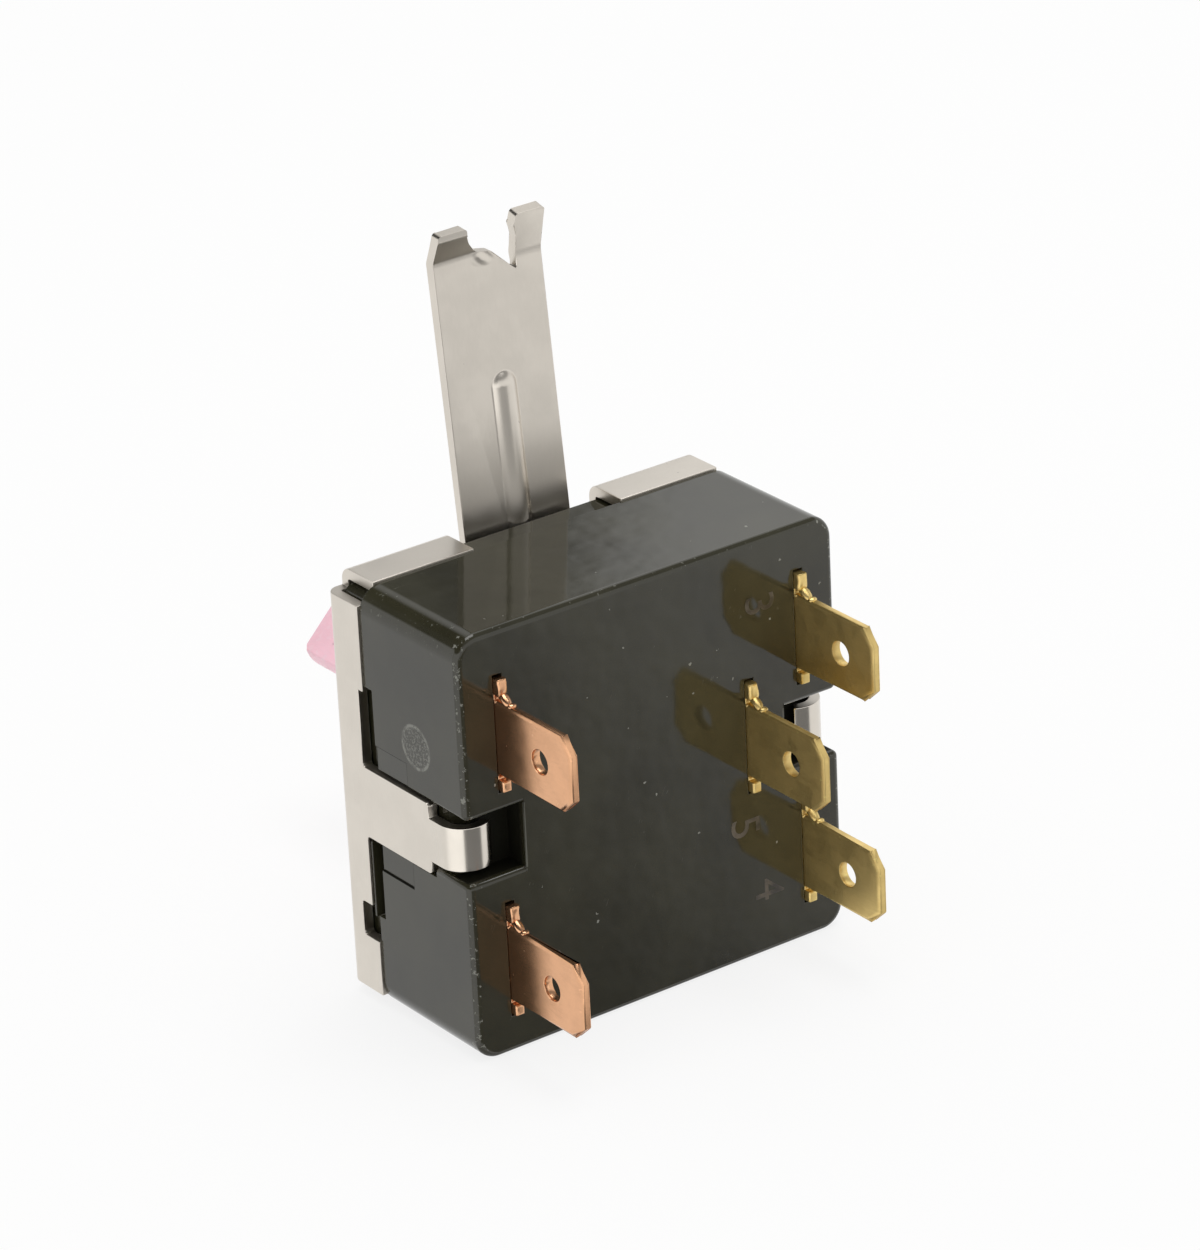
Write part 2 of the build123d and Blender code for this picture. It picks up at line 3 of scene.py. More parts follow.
import bmesh
import bpy
from bpy.props import FloatProperty, FloatVectorProperty, PointerProperty
from bpy.types import Operator, Panel, PropertyGroup
from mathutils import Matrix, Vector


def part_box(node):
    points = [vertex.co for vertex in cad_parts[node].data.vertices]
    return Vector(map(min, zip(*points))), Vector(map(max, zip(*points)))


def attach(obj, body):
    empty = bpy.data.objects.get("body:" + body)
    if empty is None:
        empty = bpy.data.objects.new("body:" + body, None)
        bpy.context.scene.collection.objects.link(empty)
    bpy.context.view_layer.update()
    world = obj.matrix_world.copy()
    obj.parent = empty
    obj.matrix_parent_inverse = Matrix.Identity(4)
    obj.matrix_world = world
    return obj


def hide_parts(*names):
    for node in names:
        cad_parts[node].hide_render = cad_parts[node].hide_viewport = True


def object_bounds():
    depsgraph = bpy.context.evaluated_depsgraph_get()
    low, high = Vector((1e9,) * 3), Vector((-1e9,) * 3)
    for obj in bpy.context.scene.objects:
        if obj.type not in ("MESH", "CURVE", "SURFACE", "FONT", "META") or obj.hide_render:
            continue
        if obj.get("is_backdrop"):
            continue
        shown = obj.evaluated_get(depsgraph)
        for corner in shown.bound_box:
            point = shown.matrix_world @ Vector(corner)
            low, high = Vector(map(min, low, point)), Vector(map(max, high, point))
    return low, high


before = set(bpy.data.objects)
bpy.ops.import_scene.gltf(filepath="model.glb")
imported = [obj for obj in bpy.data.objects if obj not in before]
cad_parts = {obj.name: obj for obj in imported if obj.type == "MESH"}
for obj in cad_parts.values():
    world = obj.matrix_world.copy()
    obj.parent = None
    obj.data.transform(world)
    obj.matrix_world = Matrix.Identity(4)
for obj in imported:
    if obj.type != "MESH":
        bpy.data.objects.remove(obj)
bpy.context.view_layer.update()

bl_info = {
    "name": "Rotary Switch",
    "version": (1, 0, 0),
    "blender": (4, 5, 0),
    "location": "View3D > Sidebar > Switch",
    "description": "Finishes a rotary selector switch: moulded housing, folded bracket, tabs and shaft",
    "category": "Object",
}

MM = 0.001


# Settings


class HousingSettings(PropertyGroup):
    """Looks of the moulded housing."""

    colour: FloatVectorProperty(
        name="Colour",
        description="Base colour of the moulded plastic",
        subtype="COLOR",
        size=3,
        default=(0.028, 0.0262, 0.0145),
        min=0,
        max=1,
    )
    edge: FloatProperty(
        name="Edge rounding",
        description="Width of the rounding on the housing's sharp edges",
        default=0.06 * MM,
        unit="LENGTH",
        precision=5,
    )
    number_height: FloatProperty(
        name="Number height",
        description="Height of the terminal numbers on the back",
        default=2.8 * MM,
        unit="LENGTH",
        precision=5,
    )
    marking: FloatVectorProperty(
        name="Number colour",
        description="Colour of the terminal numbers",
        subtype="COLOR",
        size=3,
        default=(0.1, 0.082, 0.06),
        min=0,
        max=1,
    )


class MetalSettings(PropertyGroup):
    """Looks of the bracket, the tabs and the inner metal parts."""

    steel: FloatVectorProperty(
        name="Plated steel",
        description="Colour of the bracket's plating",
        subtype="COLOR",
        size=3,
        default=(0.69, 0.642, 0.572),
        min=0,
        max=1,
    )
    copper: FloatVectorProperty(
        name="Copper",
        description="Colour of the copper tabs",
        subtype="COLOR",
        size=3,
        default=(0.76, 0.42, 0.235),
        min=0,
        max=1,
    )
    brass: FloatVectorProperty(
        name="Brass",
        description="Colour of the brass tabs",
        subtype="COLOR",
        size=3,
        default=(0.84, 0.63, 0.25),
        min=0,
        max=1,
    )
    blade_length: FloatProperty(
        name="Blade length",
        description="Reach of each tab's blade behind the housing",
        default=9.5 * MM,
        unit="LENGTH",
        precision=4,
    )
    coining: FloatProperty(
        name="Coining",
        description="Width of the chamfer round each blade",
        default=0.22 * MM,
        unit="LENGTH",
        precision=5,
    )
    edge: FloatProperty(
        name="Edge rounding",
        description="Width of the rounding on the sheared edges",
        default=0.09 * MM,
        unit="LENGTH",
        precision=5,
    )


class ShaftSettings(PropertyGroup):
    """Looks of the rotor and its shaft."""

    colour: FloatVectorProperty(
        name="Colour",
        description="Base colour of the rotor's plastic",
        subtype="COLOR",
        size=3,
        default=(0.97, 0.6, 0.685),
        min=0,
        max=1,
    )
    edge: FloatProperty(
        name="Edge rounding",
        description="Width of the rounding on the rotor's sharp edges",
        default=0.1 * MM,
        unit="LENGTH",
        precision=5,
    )


class StageSettings(PropertyGroup):
    """Floor, light and camera."""

    focal_length: FloatProperty(
        name="Focal length",
        description="Focal length of the camera",
        default=172.89,
        subtype="DISTANCE_CAMERA",
    )
    floor: FloatVectorProperty(
        name="Floor",
        description="Colour of the floor",
        subtype="COLOR",
        size=3,
        default=(0.86, 0.86, 0.855),
        min=0,
        max=1,
    )
    key_power: FloatProperty(
        name="Main light",
        description="Power of the soft light above",
        default=4.4,
        subtype="POWER",
    )
    sky: FloatProperty(
        name="Room light",
        description="Strength of the even light from all round",
        default=0.7,
        min=0,
        max=2,
    )


# Short calls for node trees


def fill(tree, node, inputs):
    """Links or sets a node's inputs."""
    for socket, value in inputs.items():
        if isinstance(value, bpy.types.NodeSocket):
            tree.links.new(value, node.inputs[socket])
        else:
            node.inputs[socket].default_value = value


def put(tree, kind, inputs=None, **options):
    """Adds a node, sets its options and fills its inputs."""
    node = tree.nodes.new(kind)
    for option, value in options.items():
        setattr(node, option, value)
    fill(tree, node, inputs or {})
    return node


def calc(tree, operation, first, second=0.0, third=0.0, clamp=False):
    inputs = {0: first, 1: second, 2: third}
    return put(tree, "ShaderNodeMath", inputs, operation=operation, use_clamp=clamp).outputs[0]


def combine(tree, operation, *values):
    """Carries one operation through all the values in turn."""
    total = values[0]
    for value in values[1:]:
        total = calc(tree, operation, total, value)
    return total


def off(tree, value, middle):
    """How far a value lies from a middle one, to either side."""
    return calc(tree, "ABSOLUTE", calc(tree, "SUBTRACT", value, middle))


def fade(tree, value, low, high, start=0.0, end=1.0):
    """Maps a value from low..high to start..end, smoothly and held at the ends."""
    inputs = {"Value": value, "From Min": low, "From Max": high, "To Min": start, "To Max": end}
    return put(tree, "ShaderNodeMapRange", inputs, interpolation_type="SMOOTHSTEP").outputs[0]


def noise(tree, vector, scale, detail=2.0, roughness=0.5):
    inputs = {"Vector": vector, "Scale": scale, "Detail": detail, "Roughness": roughness}
    return put(tree, "ShaderNodeTexNoise", inputs).outputs["Fac"]


def on_vectors(tree, operation, first, second=(0.0, 0.0, 0.0), third=(0.0, 0.0, 0.0)):
    inputs = {0: first, 1: second, 2: third}
    return put(tree, "ShaderNodeVectorMath", inputs, operation=operation).outputs


def stretch(tree, vector, factors):
    return on_vectors(tree, "MULTIPLY", vector, factors)[0]


def split(tree, vector):
    """The x, y and z of a vector."""
    return put(tree, "ShaderNodeSeparateXYZ", {0: vector}).outputs


def face_mark(tree, name):
    """A value that a piece's faces carry."""
    return put(tree, "ShaderNodeAttribute", attribute_name=name, attribute_type="GEOMETRY").outputs["Fac"]


def mix_colour(tree, factor, first, second):
    inputs = {0: factor, 6: first, 7: second}
    return put(tree, "ShaderNodeMix", inputs, data_type="RGBA").outputs[2]


def rgba(colour, shade=1.0):
    return (colour[0] * shade, colour[1] * shade, colour[2] * shade, 1.0)


def place_in_mm(tree):
    """The point on the piece in millimetres, in the piece's own axes."""
    point = put(tree, "ShaderNodeTexCoord").outputs["Object"]
    return stretch(tree, point, (1 / MM, 1 / MM, 1 / MM))


def start_group(name, inputs, outputs):
    group = bpy.data.node_groups.new(name, "ShaderNodeTree")
    for label, kind, default in inputs:
        socket = group.interface.new_socket(label, in_out="INPUT", socket_type=kind)
        if default is not None:
            socket.default_value = default
    for label in outputs:
        group.interface.new_socket(label, in_out="OUTPUT", socket_type="NodeSocketFloat")
    entry = group.nodes.new("NodeGroupInput")
    end = group.nodes.new("NodeGroupOutput")
    return group, entry.outputs, end.inputs


def grain_group():
    """Fine grain with broad cloudy patches, for metal and plastic skins."""
    name = "Surface grain"
    if name in bpy.data.node_groups:
        return bpy.data.node_groups[name]
    wanted = [
        ("Vector", "NodeSocketVector", None),
        ("Stretch", "NodeSocketVector", (4.0, 4.0, 4.0)),
        ("Patch Scale", "NodeSocketFloat", 0.25),
    ]
    group, given, out = start_group(name, wanted, ["Tone", "Height"])
    fine = noise(group, stretch(group, given["Vector"], given["Stretch"]), 1.0, 3.0, 0.5)
    patch = noise(group, given["Vector"], given["Patch Scale"], 3.0, 0.55)
    both = calc(group, "ADD", calc(group, "MULTIPLY", fine, 0.25), calc(group, "MULTIPLY", patch, 0.75))
    group.links.new(fade(group, both, 0.33, 0.67), out["Tone"])
    group.links.new(fine, out["Height"])
    return group


def handling_group():
    """Masks for dust specks, small nicks and fine scratches."""
    name = "Handling marks"
    if name in bpy.data.node_groups:
        return bpy.data.node_groups[name]
    wanted = [
        ("Vector", "NodeSocketVector", None),
        ("Speck Scale", "NodeSocketFloat", 1.2),
        ("Speck Share", "NodeSocketFloat", 0.12),
        ("Scratch Share", "NodeSocketFloat", 0.4),
    ]
    group, given, out = start_group(name, wanted, ["Specks", "Scratches"])
    source = {"Vector": given["Vector"], "Scale": 3.0, "Detail": 1.0}
    wobble = put(group, "ShaderNodeTexNoise", source).outputs["Color"]
    bent = on_vectors(group, "MULTIPLY_ADD", wobble, (0.35, 0.35, 0.35), given["Vector"])[0]
    cells = put(group, "ShaderNodeTexVoronoi", {"Vector": bent, "Scale": given["Speck Scale"]})
    chance = put(group, "ShaderNodeSeparateColor", {0: cells.outputs["Color"]})
    chosen = calc(group, "LESS_THAN", chance.outputs[0], given["Speck Share"])
    reach = calc(group, "MULTIPLY_ADD", calc(group, "POWER", chance.outputs[1], 3.0), 0.11, 0.04)
    ragged = noise(group, given["Vector"], 9.0, 2.0, 0.7)
    near = calc(group, "MULTIPLY", cells.outputs["Distance"], calc(group, "ADD", 0.5, ragged))
    inside = fade(group, calc(group, "SUBTRACT", near, reach), -0.02, 0.012, 1.0, 0.0)
    group.links.new(calc(group, "MULTIPLY", chosen, inside), out["Specks"])

    marks = None
    for turn, factors in ((0.5, (1.6, 1.6, 0.12)), (1.9, (0.14, 1.9, 1.9))):
        source = {"Vector": given["Vector"], "Angle": turn}
        turned = put(group, "ShaderNodeVectorRotate", source, rotation_type="Y_AXIS").outputs[0]
        lines = noise(group, stretch(group, turned, factors), 1.0, 2.0)
        line = fade(group, off(group, lines, 0.5), 0.0, 0.012, 1.0, 0.0)
        broken = noise(group, given["Vector"], 0.45 + 0.3 * turn, 2.0)
        limit = calc(group, "SUBTRACT", 0.78, calc(group, "MULTIPLY", given["Scratch Share"], 0.25))
        kept = calc(group, "GREATER_THAN", broken, limit)
        part = calc(group, "MULTIPLY", line, kept)
        marks = part if marks is None else calc(group, "MAXIMUM", marks, part)
    group.links.new(marks, out["Scratches"])
    return group


def edge_group():
    """Mask of rubbed spots along a piece's rounded edges."""
    name = "Rubbed edges"
    if name in bpy.data.node_groups:
        return bpy.data.node_groups[name]
    wanted = [
        ("Vector", "NodeSocketVector", None),
        ("Scale", "NodeSocketFloat", 1.6),
        ("Share", "NodeSocketFloat", 0.4),
    ]
    group, given, out = start_group(name, wanted, ["Mask"])
    edge = face_mark(group, "rounded")
    spots = noise(group, given["Vector"], given["Scale"], 4.0, 0.65)
    limit = calc(group, "SUBTRACT", 0.75, calc(group, "MULTIPLY", given["Share"], 0.35))
    edge_flecks = fade(group, calc(group, "SUBTRACT", spots, limit), 0.0, 0.06)
    group.links.new(calc(group, "MULTIPLY", edge, edge_flecks), out["Mask"])
    return group


def use_group(tree, group, inputs):
    node = tree.nodes.new("ShaderNodeGroup")
    node.node_tree = group
    fill(tree, node, inputs)
    return node.outputs


def bare_material(name):
    material = bpy.data.materials.new(name)
    material.use_nodes = True
    material.node_tree.nodes.clear()
    return material, material.node_tree


def blank_material(name):
    """A material whose surface is one Principled BSDF, with nothing feeding it yet."""
    material, tree = bare_material(name)
    shader = put(tree, "ShaderNodeBsdfPrincipled")
    put(tree, "ShaderNodeOutputMaterial", {0: shader.outputs[0]})
    return material, tree, shader


def principled(material):
    return next(node for node in material.node_tree.nodes if node.type == "BSDF_PRINCIPLED")


# Materials

# Places on the bracket in millimetres, in the part's own axes
FOLD_CENTRE = (0.25, -1.95, 40.0)
HOOK_START = 12.5
HOOK_FULL = 14.5

FOLD_HEIGHT = 0.05 * MM

# Places on the housing in millimetres, in the part's own axes
PIN_CENTRE = (0.0, 10.9, 8.63)
PIN_RADIUS = 1.75
POCKET_MIDDLE = 1.425
POCKET_HALF = 5.32
POCKET_FRONT = 4.4
POCKET_BACK = 9.4
NOTCH_MIDDLE = 1.8
NOTCH_HALF = 2.72
NOTCH_WALL = 12.4
NOTCH_FLOOR = 14.6


def metal(name, colour, dull, grain, rough=(0.24, 0.4), patch=0.22, scratches=0.45, relief=0.004, worn=0.8):
    """Sheet metal with rolling grain, cloudy patches, scratches and brighter rubbed edges."""
    material, tree, shader = blank_material(name)
    place = place_in_mm(tree)
    skin = use_group(tree, grain_group(), {"Vector": place, "Stretch": grain, "Patch Scale": patch})
    wear = {"Vector": place, "Scratch Share": scratches, "Speck Share": 0.1}
    marks = use_group(tree, handling_group(), wear)
    edge_flecks = use_group(tree, edge_group(), {"Vector": place, "Share": worn})
    tone = mix_colour(tree, skin["Tone"], rgba(dull), rgba(colour))
    tone = mix_colour(tree, calc(tree, "MULTIPLY", marks["Specks"], 0.5), tone, rgba(dull, 0.35))
    bright = calc(tree, "MAXIMUM", calc(tree, "MULTIPLY", marks["Scratches"], 0.35), edge_flecks["Mask"])
    polished = [min(part * 1.3, 0.97) for part in colour]
    tone = mix_colour(tree, calc(tree, "MULTIPLY", bright, 0.6), tone, rgba(polished))
    torn = face_mark(tree, "sheared")
    tone = mix_colour(tree, torn, tone, rgba(colour, 0.75))
    tree.links.new(tone, shader.inputs["Base Color"])
    shader.inputs["Metallic"].default_value = 1.0
    satin = fade(tree, skin["Tone"], 0.0, 1.0, rough[1], rough[0])
    satin = calc(tree, "ADD", satin, calc(tree, "MULTIPLY", marks["Scratches"], 0.12))
    satin = calc(tree, "ADD", satin, calc(tree, "MULTIPLY", torn, 0.15))
    tree.links.new(satin, shader.inputs["Roughness"])
    height = calc(tree, "SUBTRACT", skin["Height"], calc(tree, "MULTIPLY", marks["Scratches"], 0.6))
    bump = put(tree, "ShaderNodeBump", {"Strength": 0.6, "Distance": relief * MM, "Height": height})
    tree.links.new(bump.outputs[0], shader.inputs["Normal"])
    return material


def press_folds(material, centre):
    """Adds the small bump with slanting folds between the tongue's prongs."""
    tree = material.node_tree
    shader = principled(material)
    offset = on_vectors(tree, "SUBTRACT", place_in_mm(tree), centre)[0]
    away = on_vectors(tree, "LENGTH", stretch(tree, offset, (0.72, 0.5, 1.3)))["Value"]
    dome = fade(tree, away, 0.3, 1.0, 1.0, 0.0)
    apart = split(tree, offset)
    folds = calc(tree, "SINE", calc(tree, "MULTIPLY", calc(tree, "SUBTRACT", apart[0], apart[2]), 4.6))
    height = calc(tree, "MULTIPLY", dome, calc(tree, "MULTIPLY_ADD", folds, 0.5, 1.0))
    skin = shader.inputs["Normal"].links[0].from_socket
    inputs = {"Strength": 1.0, "Distance": FOLD_HEIGHT, "Height": height, "Normal": skin}
    tree.links.new(put(tree, "ShaderNodeBump", inputs).outputs[0], shader.inputs["Normal"])


def polish_hooks(material):
    """Makes the plating brighter where the clip arms were drawn round the bending die."""
    tree = material.node_tree
    shader = principled(material)
    apart = split(tree, place_in_mm(tree))
    satin = shader.inputs["Roughness"].links[0].from_socket
    drawn = fade(tree, apart[1], HOOK_START, HOOK_FULL, 0.0, 0.14)
    tree.links.new(calc(tree, "SUBTRACT", satin, drawn), shader.inputs["Roughness"])


def tab_metal(name, colour, dull, rough):
    """Tab stock with rolling grain along the blade."""
    look = {"rough": rough, "patch": 0.5, "scratches": 0.3, "relief": 0.0006, "worn": 0.4}
    return metal(name, colour, dull, (4.0, 1.0, 6.0), **look)


def pin_mark(tree, place, on_side):
    """Round frosted mark with a worn rim, left by a mould pin."""
    offset = stretch(tree, on_vectors(tree, "SUBTRACT", place, PIN_CENTRE)[0], (0.0, 1.0, 1.0))
    away = on_vectors(tree, "LENGTH", offset)["Value"]
    rim = fade(tree, off(tree, away, PIN_RADIUS), 0.05, 0.2, 1.0, 0.0)
    rim = calc(tree, "MULTIPLY", rim, fade(tree, noise(tree, place, 1.6, 2.0), 0.35, 0.6, 0.25, 1.0))
    disc = fade(tree, away, PIN_RADIUS - 0.15, PIN_RADIUS + 0.15, 1.0, 0.0)
    frost = combine(tree, "MULTIPLY", disc, fade(tree, noise(tree, place, 4.5, 3.0, 0.7), 0.48, 0.6), 0.7)
    return calc(tree, "MULTIPLY", on_side, calc(tree, "MAXIMUM", rim, frost))


def painted_pocket_line(tree, apart, near_side):
    """Painted shade: a dark line round the shallow pocket in each side, where its step lies in shadow."""
    beyond = calc(tree, "SUBTRACT", off(tree, apart[2], POCKET_MIDDLE), POCKET_HALF)
    beyond = calc(tree, "MAXIMUM", beyond, calc(tree, "SUBTRACT", apart[1], POCKET_BACK))
    line = fade(tree, calc(tree, "ABSOLUTE", beyond), 0.04, 0.1, 1.0, 0.0)
    return combine(tree, "MULTIPLY", line, calc(tree, "GREATER_THAN", apart[1], POCKET_FRONT), near_side)


def notch_masks(tree, apart, outward, back):
    """Painted shade on the inside of the hook notches, and a thin painted highlight beside them on the back.
    """
    level = calc(tree, "LESS_THAN", off(tree, apart[2], NOTCH_MIDDLE), NOTCH_HALF)
    below_back = fade(tree, apart[1], back - 0.8, back - 0.2, 1.0, 0.0)
    # Painted shade: the notch floor, below the back face, is made near-black.
    painted_notch_shade = combine(
        tree,
        "MULTIPLY",
        level,
        calc(tree, "GREATER_THAN", outward, NOTCH_WALL),
        below_back,
        calc(tree, "GREATER_THAN", apart[1], NOTCH_FLOOR),
    )
    # Painted highlight: a thin pale line along the notch wall's edge on the back.
    painted_rim_highlight = fade(tree, off(tree, outward, NOTCH_WALL + 0.05), 0.08, 0.13, 1.0, 0.0)
    painted_rim_highlight = combine(tree, "MULTIPLY", painted_rim_highlight, level, calc(tree, "GREATER_THAN", apart[1], back - 0.15))
    return painted_notch_shade, painted_rim_highlight


def housing_plastic(settings):
    """Glossy black moulding with dust, nicks, a flow pattern and the round marks of mould pins, with painted
    glints at the back corner, a painted highlight along the notch rims, and painted shade in the notches and
    round the side pockets.
    """
    material, tree, shader = blank_material("Housing plastic")
    side, back = (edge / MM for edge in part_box("housing")[1][:2])
    place = place_in_mm(tree)
    skin = use_group(tree, grain_group(), {"Vector": place, "Stretch": (9.0, 9.0, 9.0), "Patch Scale": 0.12})
    dust = {"Vector": place, "Speck Scale": 0.8, "Speck Share": 0.2, "Scratch Share": 0.3}
    marks = use_group(tree, handling_group(), dust)
    apart = split(tree, place)
    outward = calc(tree, "ABSOLUTE", apart[0])
    near_side = fade(tree, outward, side - 1.3, side - 1.0)
    near_back = fade(tree, apart[1], back - 1.3, back - 1.0)
    # Near the vertical corner between side and back, the edge flecks are more and paler: painted glints
    # there, on top of the rubbed wear along all rounded edges.
    corner = calc(tree, "MULTIPLY", near_side, near_back)
    share = calc(tree, "MULTIPLY_ADD", corner, 0.2, 0.34)
    edge_flecks = use_group(tree, edge_group(), {"Vector": place, "Scale": 2.3, "Share": share})
    mark = pin_mark(tree, place, calc(tree, "GREATER_THAN", outward, side - 0.1))
    pocket_shade_line = painted_pocket_line(tree, apart, calc(tree, "GREATER_THAN", outward, side - 0.3))
    painted_notch_shade, painted_rim_highlight = notch_masks(tree, apart, outward, back)
    # Painted shade in the notches and along the pocket lines.
    painted_shade = calc(tree, "MAXIMUM", painted_notch_shade, pocket_shade_line)

    # Pale edge flecks: rubbed wear, with painted glints near the back corner.
    wear_and_painted_glints = calc(tree, "MULTIPLY", edge_flecks["Mask"], calc(tree, "MULTIPLY_ADD", corner, 0.35, 0.3))
    # Pale marks: dust, scratches, pin marks and rubbed wear, together with painted glints and a painted rim
    # highlight.
    pale_marks_and_painted_highlights = combine(
        tree,
        "MAXIMUM",
        calc(tree, "MULTIPLY", marks["Specks"], 0.75),
        wear_and_painted_glints,
        calc(tree, "MULTIPLY", painted_rim_highlight, 0.25),
        calc(tree, "MULTIPLY", marks["Scratches"], 0.14),
        calc(tree, "MULTIPLY", mark, 0.55),
    )
    tone = mix_colour(tree, skin["Tone"], rgba(settings.colour, 0.8), rgba(settings.colour, 1.25))
    tone = mix_colour(tree, pale_marks_and_painted_highlights, tone, (0.3, 0.3, 0.26, 1.0))
    # Painted shade: near-black colour, low specular and more roughness in the notches and along the pocket
    # lines.
    tone = mix_colour(tree, calc(tree, "MULTIPLY", painted_shade, 0.8), tone, (0.004, 0.004, 0.003, 1.0))
    tree.links.new(fade(tree, painted_shade, 0.0, 1.0, 0.5, 0.08), shader.inputs["Specular IOR Level"])
    tree.links.new(tone, shader.inputs["Base Color"])
    gloss = fade(tree, skin["Tone"], 0.0, 1.0, 0.06, 0.1)
    roughening = calc(tree, "MULTIPLY", calc(tree, "MAXIMUM", pale_marks_and_painted_highlights, painted_shade), 0.5)
    gloss = calc(tree, "ADD", gloss, roughening, clamp=True)
    tree.links.new(gloss, shader.inputs["Roughness"])
    shader.inputs["IOR"].default_value = 1.52

    waves = noise(tree, place, 0.55, 1.0)
    swell = calc(tree, "MULTIPLY", waves, 3.0)
    grain = calc(tree, "MULTIPLY", skin["Height"], 0.22)
    height = combine(tree, "ADD", swell, grain, calc(tree, "MULTIPLY", pale_marks_and_painted_highlights, 0.6))
    bump = put(tree, "ShaderNodeBump", {"Strength": 0.5, "Distance": 0.006 * MM, "Height": height})
    tree.links.new(bump.outputs[0], shader.inputs["Normal"])
    return material


def shaft_plastic(settings):
    """Satin pink moulding, slightly translucent, with soft flow clouds and dust."""
    material, tree, shader = blank_material("Shaft plastic")
    place = place_in_mm(tree)
    skin = use_group(tree, grain_group(), {"Vector": place, "Stretch": (7.0, 1.2, 7.0), "Patch Scale": 0.18})
    marks = use_group(tree, handling_group(), {"Vector": place, "Speck Scale": 1.4, "Speck Share": 0.08})
    edge_flecks = use_group(tree, edge_group(), {"Vector": place, "Share": 0.6})
    tone = mix_colour(tree, skin["Tone"], rgba(settings.colour, 0.94), rgba(settings.colour, 1.03))
    tone = mix_colour(tree, calc(tree, "MULTIPLY", edge_flecks["Mask"], 0.4), tone, (0.93, 0.66, 0.72, 1.0))
    tone = mix_colour(tree, calc(tree, "MULTIPLY", marks["Specks"], 0.5), tone, rgba(settings.colour, 0.5))
    tree.links.new(tone, shader.inputs["Base Color"])
    tree.links.new(fade(tree, skin["Tone"], 0.0, 1.0, 0.34, 0.46), shader.inputs["Roughness"])
    shader.inputs["Subsurface Weight"].default_value = 0.15
    shader.inputs["Subsurface Radius"].default_value = (0.0012, 0.0006, 0.0006)
    shader.inputs["Subsurface Scale"].default_value = 1.0
    bump = put(tree, "ShaderNodeBump", {"Strength": 0.4, "Distance": 0.006 * MM, "Height": skin["Height"]})
    tree.links.new(bump.outputs[0], shader.inputs["Normal"])
    return material


def marking_ink(settings):
    """Thin matt mark that has worn off in spots."""
    material, tree, shader = blank_material("Marking")
    place = place_in_mm(tree)
    skin = use_group(tree, grain_group(), {"Vector": place, "Stretch": (6.0, 6.0, 6.0), "Patch Scale": 0.8})
    tone = mix_colour(tree, skin["Tone"], rgba(settings.marking, 0.35), rgba(settings.marking, 1.2))
    tree.links.new(tone, shader.inputs["Base Color"])
    tree.links.new(fade(tree, skin["Tone"], 0.0, 1.0, 0.3, 0.5), shader.inputs["Roughness"])
    bump = put(tree, "ShaderNodeBump", {"Strength": 0.3, "Distance": 0.004 * MM, "Height": skin["Height"]})
    tree.links.new(bump.outputs[0], shader.inputs["Normal"])
    return material


# Making pieces

WELD_DISTANCE = 0.012 * MM
WHOLE_FACE_ANGLE = math.radians(0.6)
CREASE_ANGLE = math.radians(40)
SQUARE_ON = 0.99
FINE_EDGE = 0.4 * MM


def dress(obj, material):
    """Gives every slot of an object one material."""
    obj.data.materials.clear()
    obj.data.materials.append(material)


def finish_shading(obj):
    """Smooth shading with creases at sharp edges, and flat faces kept flat."""
    for face in obj.data.polygons:
        face.use_smooth = True
    obj.data.set_sharp_from_angle(angle=CREASE_ANGLE)
    weighted = obj.modifiers.new("Even faces", "WEIGHTED_NORMAL")
    weighted.keep_sharp = True
    weighted.weight = 80


def clean_form(node):
    """Opens a node's mesh for work, with its triangles joined into whole faces."""
    form = bmesh.new()
    form.from_mesh(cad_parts[node].data)
    bmesh.ops.remove_doubles(form, verts=form.verts, dist=WELD_DISTANCE)
    bmesh.ops.dissolve_limit(form, angle_limit=WHOLE_FACE_ANGLE, verts=form.verts, edges=form.edges)
    return form


def bevel(form, edges, width, segments):
    """Bevels the edges and gives back the new faces."""
    return bmesh.ops.bevel(
        form,
        geom=edges,
        offset=width,
        offset_type="OFFSET",
        segments=segments,
        profile=0.5,
        affect="EDGES",
        clamp_overlap=False,
        miter_outer="SHARP",
        loop_slide=True,
    )["faces"]


def round_edges(form, width, least_angle=32, fine_above=math.inf):
    """Rounds the sharp edges and marks all slanting faces for the rubbed-edge mask.

    From the height fine_above up, edges no longer than FINE_EDGE are left as they are.
    """
    marked = form.faces.layers.float.new("rounded")
    for face in form.faces:
        face[marked] = 1.0 if max(abs(part) for part in face.normal) < SQUARE_ON else 0.0
    limit = math.radians(least_angle)
    sharp = [e for e in form.edges if e.is_manifold and e.calc_face_angle(0.0) > limit]
    sharp = [e for e in sharp if e.calc_length() > FINE_EDGE or e.verts[0].co.z < fine_above]
    for face in bevel(form, sharp, width, 2):
        face[marked] = 1.0


def new_piece(name, form, material):
    mesh = bpy.data.meshes.new(name)
    form.to_mesh(mesh)
    form.free()
    if "custom_normal" in mesh.attributes:
        mesh.attributes.remove(mesh.attributes["custom_normal"])
    obj = bpy.data.objects.new(name, mesh)
    bpy.context.scene.collection.objects.link(obj)
    dress(obj, material)
    return obj


def stand_for(node, obj, body):
    """Lets a finished piece take the place of its CAD node."""
    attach(obj, body)
    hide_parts(node)


class SWITCH_OT_housing(Operator):
    """Finish the moulded housing with rounded edges and its plastic"""

    bl_idname = "switch.housing"
    bl_label = "Housing"

    def execute(self, context):
        settings = context.scene.switch_housing
        form = clean_form("housing")
        round_edges(form, settings.edge)
        obj = new_piece("housing_moulding", form, housing_plastic(settings))
        finish_shading(obj)
        stand_for("housing", obj, "body")
        return {"FINISHED"}


# The x and z of each number's middle in millimetres
NUMBER_PLACES = {
    "1": (11.2, 9.3),
    "2": (11.2, -9.7),
    "3": (-10.35, 13.95),
    "4": (-10.3, -10.54),
    "5": (-8.19, -4.5),
}
DIGIT_SHARE = 0.7
INK_DEPTH = 0.004 * MM
INK_RISE = 0.002 * MM


